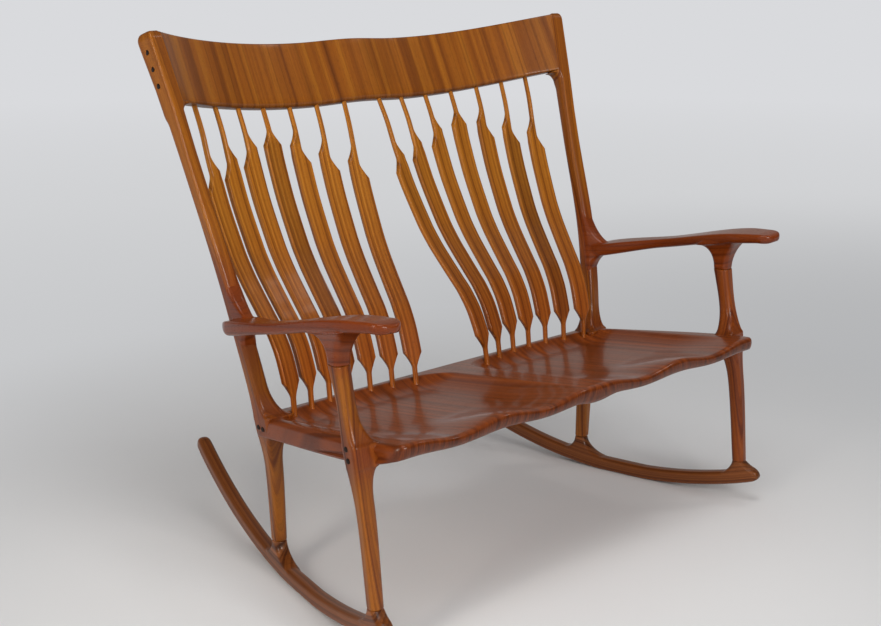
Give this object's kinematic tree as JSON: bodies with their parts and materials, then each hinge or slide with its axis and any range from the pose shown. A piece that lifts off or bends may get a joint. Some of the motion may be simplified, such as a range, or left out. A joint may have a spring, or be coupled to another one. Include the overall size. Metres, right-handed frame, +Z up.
{
  "type": "rocking bench",
  "caption": "Sculpted hardwood rocking bench for two, with a coopered crest, S-curved back braces, carved seat hollows, shaped arms and long rockers.",
  "frame": {"origin": "centre of the bench's footprint, on the floor", "axes": "+Z up; the front faces -Y; +X is the right-hand end seen from the front"},
  "size_m": [1.2618, 0.9192, 1.1383],
  "materials": {
    "rocker": "oiled, satin gloss",
    "leg": "oiled, satin gloss",
    "arm": "oiled, satin gloss",
    "crest": "oiled, satin gloss, banded grain",
    "seat": "oiled, satin gloss",
    "brace": "oiled, laminated stripes",
    "plug": "polished dark end grain",
    "dowel": "plain, hidden",
    "screw": "plain zinc, hidden"
  },
  "bodies": {
    "root": {"rocker_right": "rocker", "rocker_left": "rocker", "front_leg_right": "leg", "front_leg_left": "leg", "back_leg_right": "leg", "back_leg_left": "leg", "arm_right": "arm", "arm_left": "arm", "crest_rail": "crest", "seat_board_1_right": "seat", "seat_board_1_left": "seat", "seat_board_2_right": "seat", "seat_board_2_left": "seat", "seat_board_3_right": "seat", "seat_board_3_left": "seat", "seat_board_4_right": "seat", "seat_board_4_left": "seat", "brace_1_right": "brace", "brace_1_left": "brace", "brace_2_right": "brace", "brace_2_left": "brace", "brace_3_right": "brace", "brace_3_left": "brace", "brace_4_right": "brace", "brace_4_left": "brace", "brace_5_right": "brace", "brace_5_left": "brace", "brace_6_right": "brace", "brace_6_left": "brace", "brace_7_right": "brace", "brace_7_left": "brace", "plug_rear_1_right": "plug", "plug_rear_1_left": "plug", "screw_rear_1_right": "screw", "screw_rear_1_left": "screw", "plug_front_1_right": "plug", "plug_front_1_left": "plug", "screw_front_1_right": "screw", "screw_front_1_left": "screw", "plug_rear_2_right": "plug", "plug_rear_2_left": "plug", "screw_rear_2_right": "screw", "screw_rear_2_left": "screw", "plug_front_2_right": "plug", "plug_front_2_left": "plug", "screw_front_2_right": "screw", "screw_front_2_left": "screw", "plug_crest_1_right": "plug", "plug_crest_1_left": "plug", "plug_crest_2_right": "plug", "plug_crest_2_left": "plug", "plug_crest_3_right": "plug", "plug_crest_3_left": "plug", "dowel_front_foot_right": "dowel", "dowel_front_foot_left": "dowel", "dowel_rear_foot_right": "dowel", "dowel_rear_foot_left": "dowel", "dowel_arm_right": "dowel", "dowel_arm_left": "dowel"}
  },
  "joints": []
}
